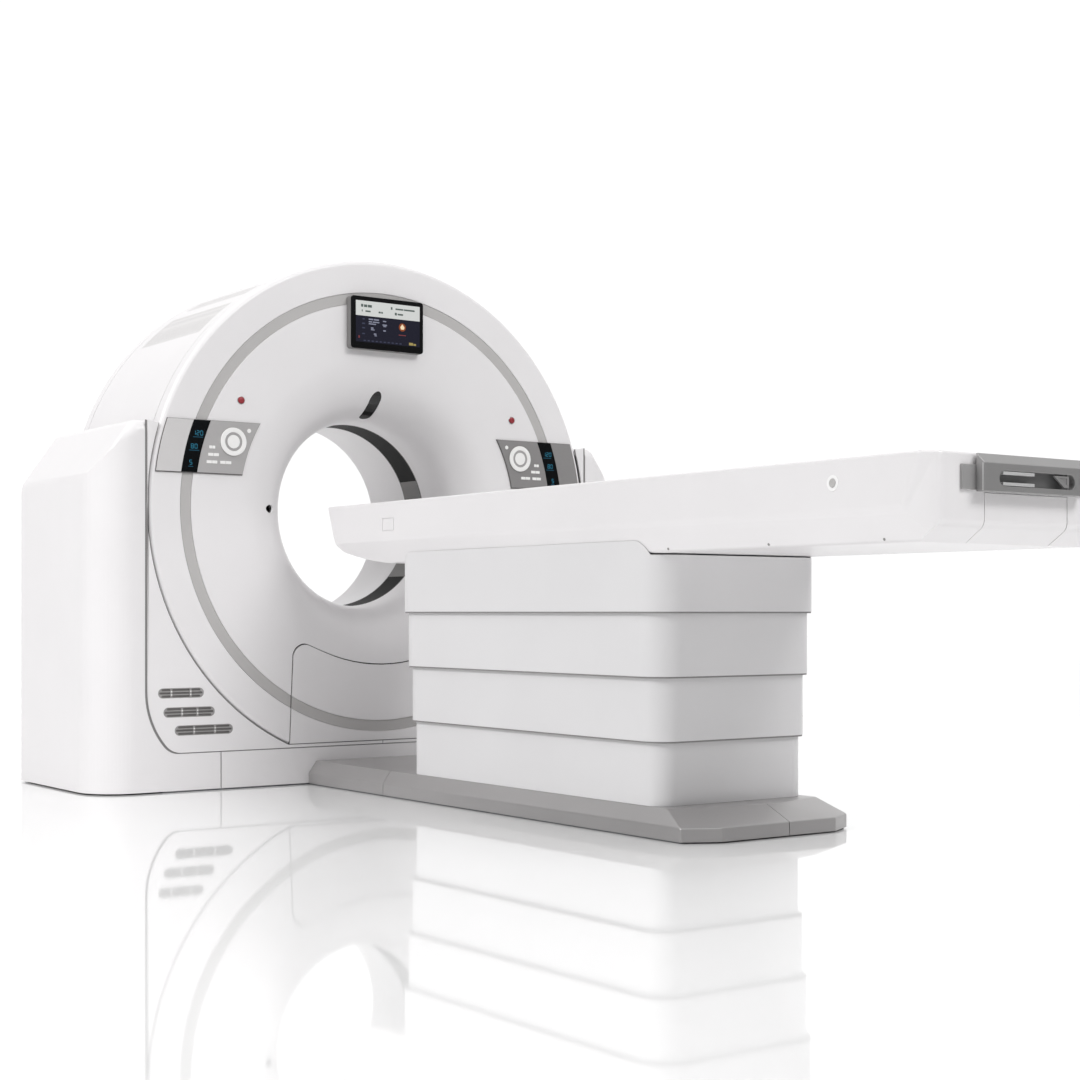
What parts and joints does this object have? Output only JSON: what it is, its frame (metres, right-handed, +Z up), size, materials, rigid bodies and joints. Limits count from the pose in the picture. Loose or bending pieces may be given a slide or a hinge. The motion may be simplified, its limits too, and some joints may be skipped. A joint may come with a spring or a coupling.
{
  "type": "ct scanner",
  "caption": "Computed-tomography scanner: ring gantry with flared bore, side control panels and screen, and a patient table with sliding cradle on a telescopic lift column.",
  "frame": {"origin": "on the floor under the isocentre, at the underside of the gantry's floor frame", "axes": "+Z up, +Y along the bore from the table's foot into the gantry, +X to the right of someone facing the gantry's front"},
  "size_m": [2.26, 3.7873, 1.937],
  "materials": {
    "white_cover": "satin-gloss painted moulding",
    "accent_grey": "satin grey",
    "panel_grey": "satin light grey",
    "black_glass": "glossy black",
    "key_white": "satin white",
    "red_button": "glossy red",
    "vent_grey": "matt grey",
    "scan_film": "dark translucent film",
    "screen_metal": "grey metallic",
    "steel_paint": "grey structural paint",
    "bright_steel": "machined",
    "cast_alloy": "machined casting",
    "plinth_metal": "grey metallic paint",
    "handle_grey": "dark grey metallic paint",
    "carbon": "woven carbon laminate, satin",
    "belt_rubber": "matt"
  },
  "bodies": {
    "frame": {"front_dish": "white_cover", "front_rim": "white_cover", "access_cover": "white_cover", "accent_ring": "accent_grey", "corner_cover_left": "white_cover", "corner_cover_right": "white_cover", "vent_grilles": "vent_grey", "side_cover_left": "white_cover", "side_cover_right": "white_cover", "plinth_cover": "white_cover", "roof_cover": "white_cover", "rear_cover": "white_cover", "bore_liner_front": "white_cover", "bore_liner_rear": "white_cover", "scan_window": "scan_film", "laser_windows": "black_glass", "control_panel_left": "panel_grey", "control_panel_right": "panel_grey", "panel_readouts": "black_glass", "panel_keys": "key_white", "screen_housing": "screen_metal", "screen_glass": "black_glass", "floor_frame": "steel_paint", "stator_frame": "cast_alloy", "bearing_outer": "bright_steel", "brush_block": "steel_paint", "drive_motor": "steel_paint", "drive_belt": "belt_rubber", "table_plinth": "plinth_metal", "lift_base": "steel_paint", "column_skirt_4": "white_cover"},
    "rotor": {"rotor_drum": "cast_alloy", "bearing_inner": "bright_steel", "slip_ring": "bright_steel", "xray_tube": "cast_alloy", "collimator": "steel_paint", "hv_generator": "steel_paint", "counterweight": "steel_paint", "detector": "steel_paint"},
    "pulley": {"drive_pulley": "bright_steel"},
    "skirt_upper": {"column_skirt_2": "white_cover"},
    "skirt_lower": {"column_skirt_3": "white_cover"},
    "lift_stage": {"lift_middle": "bright_steel"},
    "table_head": {"column_skirt_1": "white_cover", "lift_inner": "bright_steel", "table_shell": "white_cover", "foot_panel": "white_cover", "table_frame": "steel_paint", "cradle_drive": "steel_paint", "handle_block": "handle_grey"},
    "cradle": {"cradle": "carbon", "cradle_carriage": "bright_steel"},
    "release_lever": {"release_lever": "handle_grey"},
    "side_button": {"side_button": "accent_grey"},
    "ring_key_left": {"ring_key_left": "key_white"},
    "centre_key_left": {"centre_key_left": "key_white"},
    "stop_button_left": {"stop_button_left": "red_button"},
    "ring_key_right": {"ring_key_right": "key_white"},
    "centre_key_right": {"centre_key_right": "key_white"},
    "stop_button_right": {"stop_button_right": "red_button"}
  },
  "joints": [
    {"name": "rotor_spin", "type": "hinge", "parent": "frame", "child": "rotor", "pos_m": [0, 0, 1], "axis": [0, 1, 0], "continuous": true},
    {"name": "pulley_spin", "type": "hinge", "parent": "frame", "child": "pulley", "pos_m": [0.76, 0.06, 0.3], "axis": [0, 1, 0], "continuous": true},
    {"name": "table_lift", "type": "slide", "parent": "frame", "child": "table_head", "axis": [0, 0, 1], "range_m": [-0.44, 0]},
    {"name": "skirt_upper_slide", "type": "slide", "parent": "frame", "child": "skirt_upper", "axis": [0, 0, 1], "range_m": [-0.2935, 0]},
    {"name": "skirt_lower_slide", "type": "slide", "parent": "frame", "child": "skirt_lower", "axis": [0, 0, 1], "range_m": [-0.1468, 0]},
    {"name": "lift_stage_slide", "type": "slide", "parent": "frame", "child": "lift_stage", "axis": [0, 0, 1], "range_m": [-0.2201, 0]},
    {"name": "cradle_slide", "type": "slide", "parent": "table_head", "child": "cradle", "axis": [0, 1, 0], "range_m": [0, 1.7]},
    {"name": "release_lever_turn", "type": "hinge", "parent": "table_head", "child": "release_lever", "pos_m": [0.115, -3.377, 0.94], "axis": [0, 0, 1], "range_deg": [-12, 0], "stiffness_Nm_per_rad": 0.4},
    {"name": "side_button_press", "type": "slide", "parent": "table_head", "child": "side_button", "axis": [1, 0, 0], "range_m": [0, 0.003], "stiffness_N_per_m": 400},
    {"name": "ring_key_left_press", "type": "slide", "parent": "frame", "child": "ring_key_left", "axis": [0, 1, 0], "range_m": [0, 0.0015], "stiffness_N_per_m": 800},
    {"name": "centre_key_left_press", "type": "slide", "parent": "frame", "child": "centre_key_left", "axis": [0, 1, 0], "range_m": [0, 0.002], "stiffness_N_per_m": 500},
    {"name": "stop_button_left_press", "type": "slide", "parent": "frame", "child": "stop_button_left", "axis": [0, 1, 0], "range_m": [0, 0.004], "stiffness_N_per_m": 600},
    {"name": "ring_key_right_press", "type": "slide", "parent": "frame", "child": "ring_key_right", "axis": [0, 1, 0], "range_m": [0, 0.0015], "stiffness_N_per_m": 800},
    {"name": "centre_key_right_press", "type": "slide", "parent": "frame", "child": "centre_key_right", "axis": [0, 1, 0], "range_m": [0, 0.002], "stiffness_N_per_m": 500},
    {"name": "stop_button_right_press", "type": "slide", "parent": "frame", "child": "stop_button_right", "axis": [0, 1, 0], "range_m": [0, 0.004], "stiffness_N_per_m": 600}
  ],
  "couplings": [
    {"joint": "pulley_spin", "follows": "rotor_spin", "ratio": 12},
    {"joint": "skirt_upper_slide", "follows": "table_lift", "ratio": 0.6667},
    {"joint": "skirt_lower_slide", "follows": "table_lift", "ratio": 0.3333},
    {"joint": "lift_stage_slide", "follows": "table_lift", "ratio": 0.5}
  ]
}
